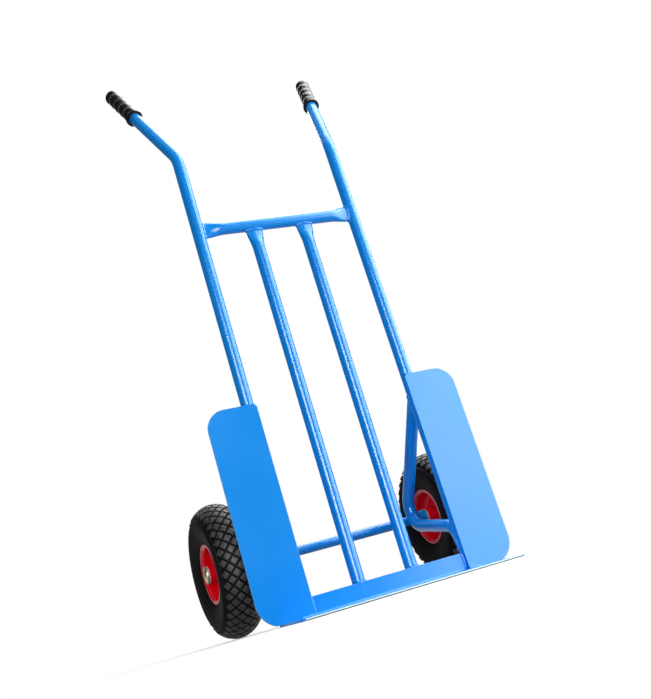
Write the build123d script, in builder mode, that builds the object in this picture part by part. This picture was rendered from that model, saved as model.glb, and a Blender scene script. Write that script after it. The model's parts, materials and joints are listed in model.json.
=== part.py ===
from build123d import *
from math import atan2, cos, radians, sin, sqrt, tan
import os

os.makedirs("parts", exist_ok=True)

# Tube frame: two bent side rails, a crossbar and two inner bars, all of one tube
tube_diameter = 25.0
tube_wall = 2.0
rail_spacing = 341.0
rail_lean = 2.65
rail_bend_height = 940.0
rail_bend_radius = 60.0
handle_tilt = 29.0
handle_splay = 11.5
crossbar_height = 772.0
bar_spacing = 110.0
bar_setback = 10.0
bar_foot_height = 3.0

# Tube ends squeezed flat where they are welded on
crimp_width = 35.0
crimp_thickness = 11.0
crimp_length = 36.0
crimp_flat = 4.0
crimp_stations = 4

# Toe plate with an upstand bent up between the rails
toe_width = 444.0
toe_reach = 120.0
toe_corner_radius = 12.0
plate_thickness = 4.0
plate_tail = 3.0
upstand_height = 36.0
upstand_bend_radius = 4.0
upstand_relief = 3.0

# Flat wings in front of the rails
wing_width = 103.0
wing_height = 399.0
wing_thickness = 3.0
wing_top_radius = 38.0
wing_bottom_radius = 45.0
wing_inner_radius = 8.0

# Bent brackets behind the rails that carry the axle
bracket_leg_angle = 41.0
bracket_foot_slope = 9.5
bracket_toe_slope = 70.0
bracket_toe_setback = 18.0
bracket_bend_radius = 40.0
bracket_toe_radius = 32.0

# Axle with its collars, washers and caps
axle_diameter = 20.0
axle_setback = 198.0
axle_seat_depth = 1.0
boss_diameter = 32.0
washer_diameter = 35.0
washer_thickness = 2.0
cap_diameter = 27.0
cap_height = 3.2
cap_wall = 1.4
hub_end_play = 0.5

# Hub of each wheel
wheel_track = 485.0
hub_length = 70.0
hub_diameter = 34.0
hub_wall = 4.0
bush_length = 20.0
bush_flange = 2.0
bush_flange_margin = 0.5
bush_clearance = 0.05

# Pressed rim halves, spot-welded back to back
rim_width = 60.0
rim_diameter = 116.0
rim_seat_diameter = 101.6
rim_sheet = 2.0
rim_bend_radius = 12.0
rim_heel_radius = 5.0

# Pneumatic tyre, its inner tube and valve
tyre_diameter = 260.0
tyre_width = 79.0
tyre_widest_diameter = 204.0
tyre_shoulder_diameter = 230.0
tyre_shoulder_width = 69.0
tyre_crown_thickness = 9.0
tyre_wall_thickness = 6.0
tyre_bead_width = 10.0
tyre_bead_height = 12.0
inner_tube_wall = 2.5
inner_tube_lift = 0.5
valve_diameter = 8.0
valve_reach = 18.0
valve_offset = 9.0

# Block tread: two sets of slanted grooves that cross, mirrored on the other wheel
tread_groove_count = 24
tread_groove_width = 4.0
tread_cross_slant = 45.0
tread_cross_depth = 4.0
tread_long_slant = 45.0
tread_long_depth = 3.2
tread_runout = 2.0

# Moulded grips with five bulges
grip_start = 187.0
grip_length = 115.0
grip_end_thickness = 6.0
grip_collar_diameter = 37.0
grip_collar_width = 5.0
grip_bulge_diameter = 32.0
grip_waist_diameter = 28.0
grip_bulge_count = 5
grip_tip_radius = 9.0

# Derived places, with the origin on the floor below the middle of the overall box
tube_radius = tube_diameter / 2
axle_radius = axle_diameter / 2
tyre_radius = tyre_diameter / 2
rail_x = rail_spacing / 2
wheel_x = wheel_track / 2
lean = radians(rail_lean)
overall_depth = toe_reach + axle_setback + tyre_radius
rail_foot_y = toe_reach - overall_depth / 2
axle_centre = Vector(0, rail_foot_y + axle_setback, tyre_radius)
rail_direction = Vector(0, sin(lean), cos(lean))
rail_front = Vector(0, -cos(lean), sin(lean))
frame_foot = Vector(0, rail_foot_y, 0)
crossbar_centre = frame_foot + rail_direction * crossbar_height
sides = {"left": -1, "right": 1}


# Writes one finished piece under its node name
def save(piece, node):
    piece.part.label = node
    export_step(piece.part, f"parts/{node}.step")


# Ring section of the frame tube
def tube_section():
    Circle(tube_radius)
    Circle(tube_radius - tube_wall, mode=Mode.SUBTRACT)


# Cuts a mouth that fits round a tube lying along the given direction
def cope(origin, direction):
    with BuildSketch(Plane(origin=origin, z_dir=direction)) as mouth:
        Circle(tube_radius)
    extrude(mouth.sketch, amount=rail_bend_height, both=True, mode=Mode.SUBTRACT)


# Carries a tube on from a plane across it, squeezed flat along the plane's x, then straight for a reach
def crimped_end(start, reach):
    for inset, mode in {0: Mode.ADD, tube_wall: Mode.SUBTRACT}.items():
        sections = []
        for station in range(crimp_stations + 1):
            way = station / crimp_stations
            squeeze = way * way * (3 - 2 * way)
            half_width = tube_radius + (crimp_width / 2 - tube_radius) * squeeze
            half_thickness = tube_radius + (crimp_thickness / 2 - tube_radius) * squeeze
            with BuildSketch(start.offset(crimp_length * way)) as station_sketch:
                Ellipse(half_width - inset, half_thickness - inset)
            sections.append(station_sketch.sketch)
        loft(sections, mode=mode)
        extrude(sections[-1], amount=reach, mode=mode)


# Rounds the corners of a sketch that lie at the given points
def round_corners(sketch, radii):
    for corner, radius in radii.items():
        fillet(sketch.vertices().sort_by_distance(corner)[0], radius)


# Point where a line in the bracket's plane meets the axis of its rail
def on_rail(start, direction):
    fall = direction.Y - direction.Z * tan(lean)
    gap = rail_foot_y + start.Z * tan(lean) - start.Y
    return start + direction * (gap / fall)


def rail_foot(side):
    return frame_foot + Vector(side * rail_x, 0, 0)


def handle_direction(side):
    tilt = lean + radians(handle_tilt)
    splay = radians(handle_splay)
    return Vector(side * sin(splay), cos(splay) * sin(tilt), cos(splay) * cos(tilt))


# Side rails: upright run, handle bend, and a handle that ends inside the grip
for word, side in sides.items():
    bend = rail_foot(side) + rail_direction * rail_bend_height
    handle_end = bend + handle_direction(side) * (grip_start + grip_length - grip_end_thickness)
    with BuildPart() as side_rail:
        with BuildLine() as rail_path:
            FilletPolyline(rail_foot(side), bend, handle_end, radius=rail_bend_radius)
        with BuildSketch(Plane(origin=rail_foot(side), z_dir=rail_direction)):
            tube_section()
        sweep(path=rail_path.line)
        split(bisect_by=Plane.XY.offset(plate_thickness), keep=Keep.TOP)
    save(side_rail, f"{word}_side_rail")

# Top crossbar, round between its flattened ends, which are mouthed onto both rails
crimp_reach = crimp_flat + tube_radius
round_half = rail_x - crimp_reach - crimp_length
with BuildPart() as top_crossbar:
    with BuildSketch(Plane(origin=crossbar_centre, z_dir=(1, 0, 0))):
        tube_section()
    extrude(amount=round_half, both=True)
    for side in sides.values():
        round_end = crossbar_centre + Vector(side * round_half, 0, 0)
        crimped_end(Plane(round_end, x_dir=rail_direction, z_dir=(side, 0, 0)), crimp_reach)
        cope(rail_foot(side), rail_direction)
save(top_crossbar, "top_crossbar")

# Inner bars: flattened tops under the crossbar, and feet a little behind the rails, against the upstand
bar_foot_y = rail_foot_y + bar_setback
bar_lean = atan2(crossbar_centre.Y - bar_foot_y, crossbar_centre.Z)
bar_direction = Vector(0, sin(bar_lean), cos(bar_lean))
for word, side in sides.items():
    bar_foot = Vector(side * bar_spacing / 2, bar_foot_y, 0)
    bar_round = crossbar_centre.Z / cos(bar_lean) - crimp_reach - crimp_length
    with BuildPart() as inner_bar:
        with BuildSketch(Plane(origin=bar_foot, z_dir=bar_direction)):
            tube_section()
        extrude(amount=bar_round)
        round_end = bar_foot + bar_direction * bar_round
        crimped_end(Plane(round_end, x_dir=(1, 0, 0), z_dir=bar_direction), crimp_reach)
        cope(crossbar_centre, Vector(1, 0, 0))
        split(bisect_by=Plane.XY.offset(bar_foot_height), keep=Keep.TOP)
    save(inner_bar, f"{word}_inner_bar")

# Toe plate: flat sheet with tails under the rails and an upstand in front of the bars
upstand_y = bar_foot_y - tube_radius / cos(bar_lean)
upstand_top_y = upstand_y + upstand_height * tan(bar_lean)
sheet_across = plate_thickness / cos(bar_lean)
inner_bend_y = upstand_y - sheet_across + plate_thickness * tan(bar_lean)
bend_start_y = upstand_y - plate_thickness - upstand_bend_radius
tail_inner_x = rail_x - tube_radius
upstand_half = tail_inner_x - upstand_relief
toe_front_y = rail_foot_y - toe_reach
tail_y = rail_foot_y + tube_radius + plate_tail
with BuildPart() as toe_plate:
    with BuildSketch() as flat_sheet:
        with Locations((0, (toe_front_y + tail_y) / 2)):
            Rectangle(toe_width, tail_y - toe_front_y)
        fillet(flat_sheet.vertices(), toe_corner_radius)
        with Locations((0, tail_y)):
            Rectangle(2 * tail_inner_x, 2 * (tail_y - bend_start_y), mode=Mode.SUBTRACT)
    extrude(amount=plate_thickness)
    with BuildSketch(Plane.YZ.offset(-upstand_half)) as bent_sheet:
        with BuildLine():
            Polyline(
                (bend_start_y, 0),
                (upstand_y, 0),
                (upstand_top_y, upstand_height),
                (upstand_top_y - sheet_across, upstand_height),
                (inner_bend_y, plate_thickness),
                (bend_start_y, plate_thickness),
                close=True,
            )
        make_face()
        round_corners(bent_sheet, {
            (upstand_y, 0): upstand_bend_radius + plate_thickness,
            (inner_bend_y, plate_thickness): upstand_bend_radius,
        })
    extrude(amount=2 * upstand_half)
save(toe_plate, "toe_plate")

# Wings: flat plates on the rails' fronts, standing on the toe plate
wing_plane = Plane(frame_foot + rail_front * tube_radius, x_dir=(1, 0, 0), z_dir=rail_front)
for word, side in sides.items():
    inner_x = side * tail_inner_x
    outer_x = side * (tail_inner_x + wing_width)
    with BuildPart() as wing:
        with BuildSketch(wing_plane) as wing_outline:
            with Locations(((inner_x + outer_x) / 2, wing_height / 2)):
                Rectangle(wing_width, wing_height)
            round_corners(wing_outline, {
                (outer_x, 0): wing_bottom_radius,
                (outer_x, wing_height): wing_top_radius,
                (inner_x, wing_height): wing_inner_radius,
            })
        extrude(amount=wing_thickness)
        split(bisect_by=Plane.XY.offset(plate_thickness), keep=Keep.TOP)
    save(wing, f"{word}_wing")

# Wheel brackets: one bent tube each, from the rail down to the axle and forward again
leg_direction = Vector(0, sin(radians(bracket_leg_angle)), -cos(radians(bracket_leg_angle)))
foot_direction = Vector(0, -cos(radians(bracket_foot_slope)), -sin(radians(bracket_foot_slope)))
toe_direction = Vector(0, -cos(radians(bracket_toe_slope)), -sin(radians(bracket_toe_slope)))
half_turn = radians(leg_direction.get_angle(foot_direction) / 2)
outward = (leg_direction - foot_direction).normalized()
bend_rise = bracket_bend_radius * (1 / cos(half_turn) - 1)
axle_corner = axle_centre + outward * (bend_rise - tube_radius - axle_radius + axle_seat_depth)
toe_run = (rail_foot_y + bracket_toe_setback - axle_corner.Y) / foot_direction.Y
toe_corner = axle_corner + foot_direction * toe_run
for word, side in sides.items():
    across = Vector(side * rail_x, 0, 0)
    with BuildPart() as wheel_bracket:
        with BuildLine() as bracket_path:
            FilletPolyline(
                on_rail(axle_corner, leg_direction) + across,
                axle_corner + across,
                toe_corner + across,
                on_rail(toe_corner, toe_direction) + across,
                radius=[bracket_bend_radius, bracket_toe_radius],
            )
        with BuildSketch(Plane(origin=bracket_path.line @ 0, z_dir=bracket_path.line % 0)):
            tube_section()
        sweep(path=bracket_path.line)
        cope(rail_foot(side), rail_direction)
        with BuildSketch(Plane(origin=axle_centre, z_dir=(1, 0, 0))):
            Circle(axle_radius)
        extrude(amount=wheel_x, both=True, mode=Mode.SUBTRACT)
    save(wheel_bracket, f"{word}_wheel_bracket")

# Axle rod, reaching into both end caps
hub_inner_x = wheel_x - hub_length / 2 - hub_end_play
hub_outer_x = wheel_x + hub_length / 2 + hub_end_play
cap_x = hub_outer_x + washer_thickness
axle_end_x = cap_x + cap_height - cap_wall
with BuildPart() as axle_rod:
    with BuildSketch(Plane(origin=axle_centre, z_dir=(1, 0, 0))):
        Circle(axle_radius)
    extrude(amount=axle_end_x, both=True)
save(axle_rod, "axle_rod")


# Plane across the axle at a distance from the middle, facing outward
def axle_plane(side, distance):
    return Plane(axle_centre + Vector(side * distance, 0, 0), x_dir=(0, 0, 1), z_dir=(side, 0, 0))


# Plane through the wheel's axis: local x is the radius, local y points outward
def wheel_section(side, distance=wheel_x):
    return Plane(axle_centre + Vector(side * distance, 0, 0), x_dir=(0, 0, 1), z_dir=(0, side, 0))


axle_axis = Axis(axle_centre, (1, 0, 0))

# Collars, washers and caps on the axle
washer_places = {"inner": hub_inner_x - washer_thickness, "outer": hub_outer_x}
boss_x = rail_x + tube_radius
for word, side in sides.items():
    with BuildPart() as axle_boss:
        with BuildSketch(axle_plane(side, boss_x)):
            Circle(boss_diameter / 2)
            Circle(axle_radius, mode=Mode.SUBTRACT)
        extrude(amount=washer_places["inner"] - boss_x)
    save(axle_boss, f"{word}_axle_boss")
    for place, washer_x in washer_places.items():
        with BuildPart() as washer:
            with BuildSketch(axle_plane(side, washer_x)):
                Circle(washer_diameter / 2)
                Circle(axle_radius, mode=Mode.SUBTRACT)
            extrude(amount=washer_thickness)
        save(washer, f"{word}_{place}_washer")
    with BuildPart() as axle_cap:
        with BuildSketch(wheel_section(side, cap_x)):
            with BuildLine():
                Polyline(
                    (0, cap_height),
                    (0, cap_height - cap_wall),
                    (axle_radius, cap_height - cap_wall),
                    (axle_radius, 0),
                    (cap_diameter / 2, 0),
                    (cap_diameter / 2, cap_wall / 2),
                )
                TangentArc((0, cap_height), (cap_diameter / 2, cap_wall / 2), tangent=(1, 0))
            make_face()
        revolve(axis=axle_axis)
    save(axle_cap, f"{word}_axle_cap")

# Moulded grips, closed at the tip
for word, side in sides.items():
    bend = rail_foot(side) + rail_direction * rail_bend_height
    mouth = Plane(bend + handle_direction(side) * grip_start, z_dir=handle_direction(side))
    waist_radius = grip_waist_diameter / 2
    bulge_step = (grip_length - grip_collar_width) / grip_bulge_count
    with BuildPart() as grip:
        with BuildSketch(Plane(mouth.origin, x_dir=mouth.x_dir, z_dir=-mouth.y_dir)) as grip_profile:
            with BuildLine():
                Polyline(
                    (waist_radius, grip_length),
                    (0, grip_length),
                    (0, grip_length - grip_end_thickness),
                    (tube_radius, grip_length - grip_end_thickness),
                    (tube_radius, 0),
                    (grip_collar_diameter / 2, 0),
                    (grip_collar_diameter / 2, grip_collar_width),
                    (waist_radius, grip_collar_width),
                )
                for bulge in range(grip_bulge_count):
                    base = grip_collar_width + bulge * bulge_step
                    ThreePointArc(
                        (waist_radius, base),
                        (grip_bulge_diameter / 2, base + bulge_step / 2),
                        (waist_radius, base + bulge_step),
                    )
            make_face()
            round_corners(grip_profile, {(waist_radius, grip_length): grip_tip_radius})
        revolve(axis=Axis(mouth.origin, mouth.z_dir))
    save(grip, f"{word}_grip")

# Shared rim and tyre profile values
rim_half = rim_width / 2
rim_radius = rim_diameter / 2
seat_radius = rim_seat_diameter / 2
lip_y = rim_half - rim_sheet
hub_radius = hub_diameter / 2
bead_toe_y = lip_y - tyre_bead_width
widest_radius = tyre_widest_diameter / 2
shoulder_radius = tyre_shoulder_diameter / 2


# Half outline of the air space in the tyre, from the crown to the bead toe, then mirrored
def air_space(base_radius):
    crown = (tyre_radius - tyre_crown_thickness, 0)
    shoulder = (shoulder_radius - tyre_wall_thickness, tyre_shoulder_width / 2 - tyre_wall_thickness)
    widest = (widest_radius, tyre_width / 2 - tyre_wall_thickness)
    bead_top = (seat_radius + tyre_bead_height, bead_toe_y)
    TangentArc(crown, shoulder, tangent=(0, 1))
    TangentArc(widest, shoulder, tangent=(1, 0))
    TangentArc(widest, bead_top, tangent=(-1, 0))
    Polyline(bead_top, (base_radius, bead_toe_y), (base_radius, 0))
    mirror(about=Plane.XZ)


# Groove outline in its own slanted plane: an arched floor that runs out below both shoulders
def groove_outline(slant, depth):
    half_run = tyre_width / 2 / cos(slant)
    drift = tyre_width / 2 * tan(slant)
    end_radius = sqrt((shoulder_radius - tread_runout) ** 2 - drift ** 2)
    open_radius = tyre_radius + depth
    ThreePointArc((end_radius, -half_run), (tyre_radius - depth, 0), (end_radius, half_run))
    Polyline(
        (end_radius, half_run),
        (open_radius, half_run),
        (open_radius, -half_run),
        (end_radius, -half_run),
    )


# Grooves of the tread, one set for each slant, starting half a step from the top
tread_slants = {
    radians(tread_cross_slant): tread_cross_depth,
    -radians(tread_long_slant): tread_long_depth,
}
tread_step = 360 / tread_groove_count
groove_turns = [(turn + 0.5) * tread_step for turn in range(tread_groove_count)]
tyre_section = wheel_section(1)
tread = []
for slant, depth in tread_slants.items():
    run = Vector(cos(slant), sin(slant), 0)
    groove_plane = Plane(tyre_section.origin, x_dir=(0, 0, 1), z_dir=Vector(0, 0, 1).cross(run))
    with BuildPart() as groove:
        with BuildSketch(groove_plane):
            with BuildLine():
                groove_outline(slant, depth)
            make_face()
        extrude(amount=tread_groove_width / 2, both=True)
    tread.append([groove.part.rotate(axle_axis, turn) for turn in groove_turns])

# Tyre: crown, sidewalls, beads that seat against the rim lips, and the tread cut into the crown
with BuildPart() as right_tyre:
    with BuildSketch(tyre_section) as tyre_profile:
        with BuildLine():
            shoulder = (shoulder_radius, tyre_shoulder_width / 2)
            widest = (widest_radius, tyre_width / 2)
            TangentArc((tyre_radius, 0), shoulder, tangent=(0, 1))
            TangentArc(widest, shoulder, tangent=(1, 0))
            TangentArc(widest, (rim_radius, lip_y), tangent=(-1, 0))
            Polyline((rim_radius, lip_y), (seat_radius, lip_y), (seat_radius, 0))
            mirror(about=Plane.XZ)
        make_face()
        heels = tyre_profile.vertices().sort_by(Axis.X)[:2]
        fillet(heels, rim_heel_radius)
        with BuildLine():
            air_space(seat_radius)
        make_face(mode=Mode.SUBTRACT)
    revolve(axis=axle_axis)
    for grooves in tread:
        add(grooves, mode=Mode.SUBTRACT)
save(right_tyre, "right_tyre")
with BuildPart() as left_tyre:
    mirror(right_tyre.part, about=Plane.YZ)
save(left_tyre, "left_tyre")

for word, side in sides.items():
    section = wheel_section(side)

    # Inner tube, hollow, filling the air space above the rim
    stem_plane = Plane(section.origin + Vector(side * valve_offset, 0, 0), z_dir=(0, -1, 0))
    base_radius = seat_radius + inner_tube_lift
    with BuildPart() as inner_tube:
        with BuildSketch(section):
            with BuildLine():
                air_space(base_radius)
            make_face()
            offset(amount=-inner_tube_wall, mode=Mode.SUBTRACT)
        revolve(axis=axle_axis)
        with BuildSketch(stem_plane.offset(seat_radius)):
            Circle(valve_diameter / 2)
        extrude(amount=inner_tube_lift + inner_tube_wall, mode=Mode.SUBTRACT)
    save(inner_tube, f"{word}_inner_tube")

    # Valve stem through the outer rim half
    with BuildPart() as valve_stem:
        with BuildSketch(stem_plane.offset(seat_radius - rim_sheet - valve_reach)):
            Circle(valve_diameter / 2)
        extrude(amount=valve_reach + rim_sheet + inner_tube_lift + inner_tube_wall)
    save(valve_stem, f"{word}_valve_stem")

    # Pressed rim halves: disc, bead seat and lip, back to back
    for half_name, facing in {"outer": 1, "inner": -1}.items():
        with BuildPart() as rim:
            with BuildSketch(section) as rim_profile:
                with BuildLine():
                    Polyline(
                        (hub_radius, 0),
                        (seat_radius, 0),
                        (seat_radius, facing * lip_y),
                        (rim_radius, facing * lip_y),
                        (rim_radius, facing * rim_half),
                        (seat_radius - rim_sheet, facing * rim_half),
                        (seat_radius - rim_sheet, facing * rim_sheet),
                        (hub_radius, facing * rim_sheet),
                        close=True,
                    )
                make_face()
                round_corners(rim_profile, {
                    (seat_radius, 0): rim_bend_radius + rim_sheet,
                    (seat_radius - rim_sheet, facing * rim_sheet): rim_bend_radius,
                    (seat_radius, facing * lip_y): rim_heel_radius,
                    (seat_radius - rim_sheet, facing * rim_half): rim_heel_radius + rim_sheet,
                })
            revolve(axis=axle_axis)
            if facing > 0:
                with BuildSketch(stem_plane):
                    Circle(valve_diameter / 2)
                extrude(amount=rim_radius, mode=Mode.SUBTRACT)
        save(rim, f"{word}_rim_{half_name}")

    # Hub sleeve through both discs, with a flanged bush in each end
    sleeve_length = hub_length - 2 * bush_flange
    bush_radius = hub_radius - hub_wall
    with BuildPart() as hub_sleeve:
        with BuildSketch(axle_plane(side, wheel_x - sleeve_length / 2)):
            Circle(hub_radius)
            Circle(bush_radius, mode=Mode.SUBTRACT)
        extrude(amount=sleeve_length)
    save(hub_sleeve, f"{word}_hub_sleeve")
    with BuildPart() as hub_bushes:
        for end in (-1, 1):
            with BuildSketch(axle_plane(side, wheel_x + end * sleeve_length / 2)):
                Circle(hub_radius - bush_flange_margin)
                Circle(axle_radius + bush_clearance, mode=Mode.SUBTRACT)
            extrude(amount=end * bush_flange)
            with BuildSketch(axle_plane(side, wheel_x + end * sleeve_length / 2)):
                Circle(bush_radius)
                Circle(axle_radius + bush_clearance, mode=Mode.SUBTRACT)
            extrude(amount=-end * bush_length)
    save(hub_bushes, f"{word}_hub_bushes")
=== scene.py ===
import json
import math

import bmesh
import bpy
from mathutils import Matrix, Vector


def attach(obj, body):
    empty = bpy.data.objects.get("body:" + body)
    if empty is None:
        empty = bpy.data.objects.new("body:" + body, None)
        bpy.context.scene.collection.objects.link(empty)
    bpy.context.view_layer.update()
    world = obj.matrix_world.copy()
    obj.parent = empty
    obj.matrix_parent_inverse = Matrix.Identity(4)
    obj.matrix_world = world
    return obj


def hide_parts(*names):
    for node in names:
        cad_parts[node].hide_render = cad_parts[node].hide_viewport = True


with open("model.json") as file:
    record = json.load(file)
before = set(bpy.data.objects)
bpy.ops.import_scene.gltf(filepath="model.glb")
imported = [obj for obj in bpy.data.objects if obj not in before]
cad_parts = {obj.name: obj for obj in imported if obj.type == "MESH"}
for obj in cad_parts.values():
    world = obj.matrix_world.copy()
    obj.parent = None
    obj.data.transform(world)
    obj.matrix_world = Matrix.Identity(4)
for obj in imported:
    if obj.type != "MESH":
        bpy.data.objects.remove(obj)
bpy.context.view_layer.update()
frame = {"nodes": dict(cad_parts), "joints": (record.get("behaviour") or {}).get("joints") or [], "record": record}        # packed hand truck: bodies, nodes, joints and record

nodes = frame["nodes"]
sides = {"left": -1, "right": 1}
wheelCentre = {joint["child"]: Vector(joint["pos_m"]) for joint in frame["joints"]}
mm = 0.001
noiseLow, noiseHigh = 0.3, 0.7        # most of a noise texture's values lie between these


# sRGB hex to the linear colour that the shaders take
def hexColour(code):
    channels = [int(code[i:i + 2], 16) / 255 for i in (0, 2, 4)]
    return [c / 12.92 if c <= 0.04045 else ((c + 0.055) / 1.055) ** 2.4 for c in channels] + [1]


# One node with its settings, and its inputs by name or number: a value or a socket to link
def addNode(tree, kind, inputs=None, **settings):
    node = tree.nodes.new("ShaderNode" + kind)
    for name, value in settings.items():
        setattr(node, name, value)
    for name, value in (inputs or {}).items():
        if isinstance(value, bpy.types.NodeSocket):
            tree.links.new(value, node.inputs[name])
        else:
            node.inputs[name].default_value = value
    return node


# New material with an empty tree, its shader and its output
def startMaterial(name, **constants):
    material = bpy.data.materials.new(name)
    material.use_nodes = True
    tree = material.node_tree
    tree.nodes.clear()
    shader = addNode(tree, "BsdfPrincipled", constants)
    addNode(tree, "OutputMaterial", {"Surface": shader.outputs["BSDF"]})
    return material, tree, shader


# Colour, roughness and bumped normal of a finish go to its shader
def linkFinish(tree, shader, colour, rough, skin=None):
    tree.links.new(colour, shader.inputs["Base Color"])
    tree.links.new(rough, shader.inputs["Roughness"])
    if skin:
        tree.links.new(skin.outputs[0], shader.inputs["Normal"])


# Finished mesh object at the origin, riding on its body
def addPiece(name, bm, materials, body, smoothAngle=40):
    bmesh.ops.recalc_face_normals(bm, faces=bm.faces)
    for face in bm.faces:
        face.smooth = True
    for edge in bm.edges:
        edge.smooth = edge.calc_face_angle(0) < math.radians(smoothAngle)
    mesh = bpy.data.meshes.new(name)
    bm.to_mesh(mesh)
    bm.free()
    piece = bpy.data.objects.new(name, mesh)
    bpy.context.scene.collection.objects.link(piece)
    for material in materials:
        mesh.materials.append(material)
    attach(piece, body)
    return piece


# Painted edges: rounded normals are kept to the brinks, because on round tubes they are noisy.
# Start and full are cosines of the turn between the flat and the rounded normal
painted = {"samples": 4, "brinkStart": 0.998, "brinkFull": 0.98}


# Share of wear along the edges, and the normal that rolls over them
def rollEdges(tree, radius, wearStart, wearFull):
    rounded = addNode(tree, "Bevel", {"Radius": radius}, samples=painted["samples"]).outputs["Normal"]
    flat = addNode(tree, "NewGeometry").outputs["Normal"]
    turn = addNode(tree, "VectorMath", {0: rounded, 1: flat}, operation="DOT_PRODUCT").outputs["Value"]
    wear = addNode(tree, "MapRange", {"Value": turn, 1: wearStart, 2: wearFull}).outputs[0]
    brink = addNode(tree, "MapRange", {
        "Value": turn, 1: painted["brinkStart"], 2: painted["brinkFull"]}).outputs[0]
    soft = addNode(tree, "Mix", {0: brink, 4: flat, 5: rounded}, data_type="VECTOR").outputs[1]
    return wear, soft


# Gloss powder coat on steel: saturated blue with a faint orange peel, thinner and paler along the
# edges, with fine rub marks low down where loads slide on
coat = {
    "colour": "008CE8", "deep": "0083DC", "edge": "4FB0FF", "rub": "6FB4EE", "toeHighlight": "D8F4FC",
    "toeShadow": "2C3836", "ior": 1.5, "specular": 0.25, "roughLow": 0.18, "roughHigh": 0.26,
    "cloud": 160 * mm, "peel": 2.4 * mm, "peelDepth": 0.1 * mm, "peelStrength": 0.02,
    "edgeRadius": 1.0 * mm, "wearStart": 0.99, "wearFull": 0.8,
    "chip": 9 * mm, "chipStart": 0.42, "chipFull": 0.62,
    "rubWidth": 1.5 * mm, "rubLength": 60 * mm, "rubTilt": (0, 0.5, 0.3), "rubStart": 0.68, "rubFull": 0.78,
    "rubTop": 300 * mm, "rubShare": 0.4, "rubDulling": 0.3,
    "toeFront": -224 * mm, "toeShadowHeight": 1.3 * mm, "toeShadowFade": 1.5,
}


def makePowderCoat():
    material, tree, shader = startMaterial("blue_powder_coat", **{
        "IOR": coat["ior"], "Specular IOR Level": coat["specular"]})
    spot = addNode(tree, "TexCoord").outputs["Object"]
    cloud = addNode(tree, "TexNoise", {"Vector": spot, "Scale": 1 / coat["cloud"], "Detail": 3}).outputs[0]
    peel = addNode(tree, "TexNoise", {"Vector": spot, "Scale": 1 / coat["peel"], "Detail": 1}).outputs[0]
    edge, soft = rollEdges(tree, coat["edgeRadius"], coat["wearStart"], coat["wearFull"])
    patch = addNode(tree, "TexNoise", {"Vector": spot, "Scale": 1 / coat["chip"], "Detail": 4}).outputs[0]
    patchy = addNode(tree, "MapRange", {
        "Value": patch, 1: coat["chipStart"], 2: coat["chipFull"]}).outputs[0]
    wornEdge = addNode(tree, "Math", {0: edge, 1: patchy}, operation="MULTIPLY").outputs[0]
    # rub marks run across the toe plate and up the wings, and fade out above the wheels
    streak = addNode(tree, "Mapping", {"Vector": spot, "Rotation": coat["rubTilt"], "Scale": (
        1 / coat["rubWidth"], 1 / coat["rubWidth"], 1 / coat["rubLength"])}).outputs[0]
    rubNoise = addNode(tree, "TexNoise", {"Vector": streak, "Scale": 1, "Detail": 2}).outputs[0]
    rubLine = addNode(tree, "MapRange", {
        "Value": rubNoise, 1: coat["rubStart"], 2: coat["rubFull"]}).outputs[0]
    place = addNode(tree, "SeparateXYZ", {0: spot}).outputs
    low = addNode(tree, "MapRange", {
        "Value": place["Z"], 1: coat["rubTop"], 2: 0.0, 3: 0.0, 4: coat["rubShare"]}).outputs[0]
    rub = addNode(tree, "Math", {0: rubLine, 1: low}, operation="MULTIPLY").outputs[0]
    body = addNode(tree, "Mix", {
        0: cloud, 6: hexColour(coat["deep"]), 7: hexColour(coat["colour"])}, data_type="RGBA").outputs[2]
    edged = addNode(tree, "Mix", {
        0: wornEdge, 6: body, 7: hexColour(coat["edge"])}, data_type="RGBA").outputs[2]
    rubbed = addNode(tree, "Mix", {
        0: rub, 6: edged, 7: hexColour(coat["rub"])}, data_type="RGBA").outputs[2]
    # the toe plate's front edge gets a painted highlight in pale cyan, with a painted shadow in a dark band
    # at its foot
    toeShadow = coat["toeShadowHeight"]
    toe = addNode(tree, "MapRange", {
        "Value": place["Y"], 1: coat["toeFront"] + toeShadow, 2: coat["toeFront"]}).outputs[0]
    clear = addNode(tree, "MapRange", {
        "Value": place["Z"], 1: toeShadow, 2: coat["toeShadowFade"] * toeShadow}).outputs[0]
    toeShineAndShadow = addNode(tree, "Mix", {
        0: clear, 6: hexColour(coat["toeShadow"]), 7: hexColour(coat["toeHighlight"])}, data_type="RGBA").outputs[2]
    # the toe edge's painted highlight and painted shadow go over the coat
    bared = addNode(tree, "Mix", {0: toe, 6: rubbed, 7: toeShineAndShadow}, data_type="RGBA").outputs[2]
    satin = addNode(tree, "MapRange", {
        "Value": cloud, 1: noiseLow, 2: noiseHigh, 3: coat["roughLow"], 4: coat["roughHigh"]}).outputs[0]
    rough = addNode(tree, "Math", {
        0: rub, 1: coat["rubDulling"], 2: satin}, operation="MULTIPLY_ADD").outputs[0]
    skin = addNode(tree, "Bump", {
        "Height": peel, "Strength": coat["peelStrength"], "Distance": coat["peelDepth"], "Normal": soft})
    linkFinish(tree, shader, bared, rough, skin)
    return material


# Stoved red enamel on pressed sheet: deep red gloss, slight waviness from the press, pale pink on the lip as
# a painted highlight and on the edges as wear and painted highlight
enamel = {
    "colour": "EE0A24", "deep": "DC061C", "lip": "EC8490", "ior": 1.5, "specular": 0.18,
    "roughLow": 0.14, "roughHigh": 0.24, "wave": 14 * mm, "waveDepth": 0.5 * mm, "waveStrength": 0.05,
    "peel": 1.8 * mm, "peelDepth": 0.1 * mm, "peelStrength": 0.08,
    "edgeRadius": 0.5 * mm, "wearStart": 0.98, "wearFull": 0.75,
    "lipInner": 54.5 * mm, "lipOuter": 56.5 * mm,
}


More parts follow.
